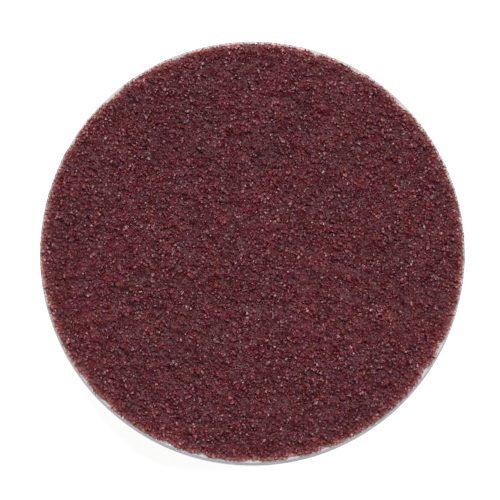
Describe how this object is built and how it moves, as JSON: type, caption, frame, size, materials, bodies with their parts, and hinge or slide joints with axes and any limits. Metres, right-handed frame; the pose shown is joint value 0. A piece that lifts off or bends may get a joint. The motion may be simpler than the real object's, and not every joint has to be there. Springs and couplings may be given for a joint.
{
  "type": "quick-change sanding disc",
  "caption": "Round quick-change sanding disc with a red grit face, a pale cloth backing and a moulded button with a coarse threaded stud on its back.",
  "frame": {"origin": "centre of the flat end of the threaded stud, on which the disc stands", "axes": "+Z along the disc's axis, from the stud's end to the grit face; X and Y lie across the disc"},
  "size_m": [0.05, 0.05, 0.0092],
  "materials": {
    "red_grit": "grit",
    "pale_cloth": "woven",
    "black_nylon": "satin"
  },
  "bodies": {
    "root": {"abrasive_coat": "red_grit", "backing_cloth": "pale_cloth", "fastener_button": "black_nylon"}
  },
  "joints": []
}
